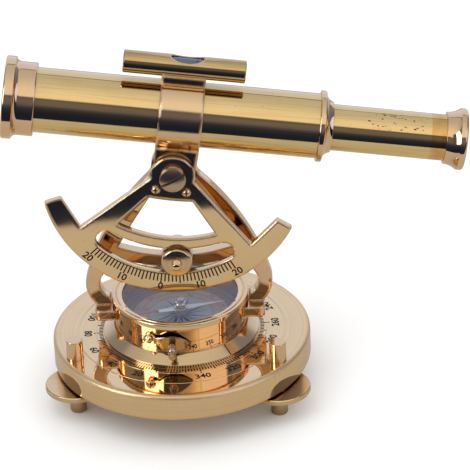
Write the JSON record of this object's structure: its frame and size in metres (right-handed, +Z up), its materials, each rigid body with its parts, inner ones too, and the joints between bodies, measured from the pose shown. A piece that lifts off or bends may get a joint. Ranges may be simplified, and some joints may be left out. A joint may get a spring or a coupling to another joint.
{
  "type": "telescopic alidade",
  "caption": "Sighting telescope with a level on a tilting arc plate, carried by a yoke over a glazed compass that turns on a levelled base.",
  "frame": {"origin": "axis of the round base, in the plane of the three feet's tips", "axes": "+Z up along the base's axis, +X along the telescope's line towards the eyepiece, -Y the side of the arc plate's graduated face"},
  "size_m": [0.1749, 0.1071, 0.1437],
  "materials": {
    "base_brass": "polished",
    "screw_brass": "polished",
    "casting_brass": "polished",
    "plate_brass": "polished",
    "tube_brass": "polished",
    "box_brass": "polished",
    "fitting_brass": "polished",
    "dial_paper": "printed",
    "needle_steel": "half painted red, half white",
    "clear_glass": "polished",
    "lens_glass": "polished",
    "vial_glass": "filled with spirit"
  },
  "bodies": {
    "base": {"base_plate": "base_brass"},
    "compass": {"bolt_washer": "screw_brass", "centre_bolt": "screw_brass", "index_ring": "base_brass", "compass_box": "box_brass", "compass_dial": "dial_paper", "needle_pin": "screw_brass", "compass_glass": "clear_glass", "compass_bezel": "box_brass", "lock_screw": "screw_brass", "yoke": "casting_brass", "pivot_screw": "box_brass", "pivot_nut": "screw_brass", "clamp_stud": "screw_brass", "clamp_collar": "screw_brass"},
    "telescope": {"arc_plate": "plate_brass", "arc_plate_screws": "screw_brass", "saddle": "casting_brass", "level_bracket": "casting_brass", "level_tube": "tube_brass", "level_vial": "vial_glass", "level_plugs": "fitting_brass", "main_tube": "tube_brass", "objective_cell": "fitting_brass", "objective_lens": "lens_glass", "lens_ring": "fitting_brass", "tube_collar": "fitting_brass"},
    "draw": {"draw_tube": "tube_brass", "draw_guide": "fitting_brass", "eyepiece_cup": "fitting_brass", "eye_lens": "lens_glass", "eye_lens_ring": "fitting_brass"},
    "needle": {"needle": "needle_steel", "needle_cap": "screw_brass"},
    "lock": {"lock_leaf": "box_brass", "lock_grip": "screw_brass"},
    "clamp": {"clamp_nut": "screw_brass"},
    "screw_front_left": {"levelling_screw_front_left": "screw_brass"},
    "wheel_front_left": {"thumb_wheel_front_left": "base_brass"},
    "screw_front_right": {"levelling_screw_front_right": "screw_brass"},
    "wheel_front_right": {"thumb_wheel_front_right": "base_brass"},
    "screw_rear": {"levelling_screw_rear": "screw_brass"},
    "wheel_rear": {"thumb_wheel_rear": "base_brass"}
  },
  "joints": [
    {"name": "compass_turn", "type": "hinge", "parent": "base", "child": "compass", "pos_m": [0, 0, 0.0235], "axis": [0, 0, 1], "continuous": true},
    {"name": "telescope_tilt", "type": "hinge", "parent": "compass", "child": "telescope", "pos_m": [0, 0, 0.0954], "axis": [0, 1, 0], "range_deg": [-47, 30.5]},
    {"name": "draw_slide", "type": "slide", "parent": "telescope", "child": "draw", "axis": [0.9907, 0, -0.1357], "range_m": [-0.0419, 0.0163]},
    {"name": "needle_turn", "type": "hinge", "parent": "compass", "child": "needle", "pos_m": [0, 0, 0.0337], "axis": [0, 0, 1], "continuous": true},
    {"name": "lock_lift", "type": "hinge", "parent": "compass", "child": "lock", "pos_m": [-0.01122, -0.02301, 0.0337], "axis": [-0.4384, -0.8988, 0], "range_deg": [0, 8]},
    {"name": "clamp_turn", "type": "hinge", "parent": "compass", "child": "clamp", "pos_m": [0, -0.0119, 0.0598], "axis": [0, 1, 0], "range_deg": [-180, 0]},
    {"name": "screw_front_left_lift", "type": "slide", "parent": "base", "child": "screw_front_left", "axis": [0, 0, 1], "range_m": [-0.004, 0.0006]},
    {"name": "wheel_front_left_turn", "type": "hinge", "parent": "screw_front_left", "child": "wheel_front_left", "pos_m": [-0.04045, -0.01973, 0.0111], "axis": [0, 0, 1], "range_deg": [-1799, 269]},
    {"name": "screw_front_right_lift", "type": "slide", "parent": "base", "child": "screw_front_right", "axis": [0, 0, 1], "range_m": [-0.004, 0.0006]},
    {"name": "wheel_front_right_turn", "type": "hinge", "parent": "screw_front_right", "child": "wheel_front_right", "pos_m": [0.03731, -0.02516, 0.0111], "axis": [0, 0, 1], "range_deg": [-1799, 269]},
    {"name": "screw_rear_lift", "type": "slide", "parent": "base", "child": "screw_rear", "axis": [0, 0, 1], "range_m": [-0.004, 0.0006]},
    {"name": "wheel_rear_turn", "type": "hinge", "parent": "screw_rear", "child": "wheel_rear", "pos_m": [0.00314, 0.04489, 0.0111], "axis": [0, 0, 1], "range_deg": [-1799, 269]}
  ],
  "couplings": [
    {"joint": "screw_front_left_lift", "follows": "wheel_front_left_turn", "m_per_rad": 0.00012732},
    {"joint": "screw_front_right_lift", "follows": "wheel_front_right_turn", "m_per_rad": 0.00012732},
    {"joint": "screw_rear_lift", "follows": "wheel_rear_turn", "m_per_rad": 0.00012732}
  ]
}
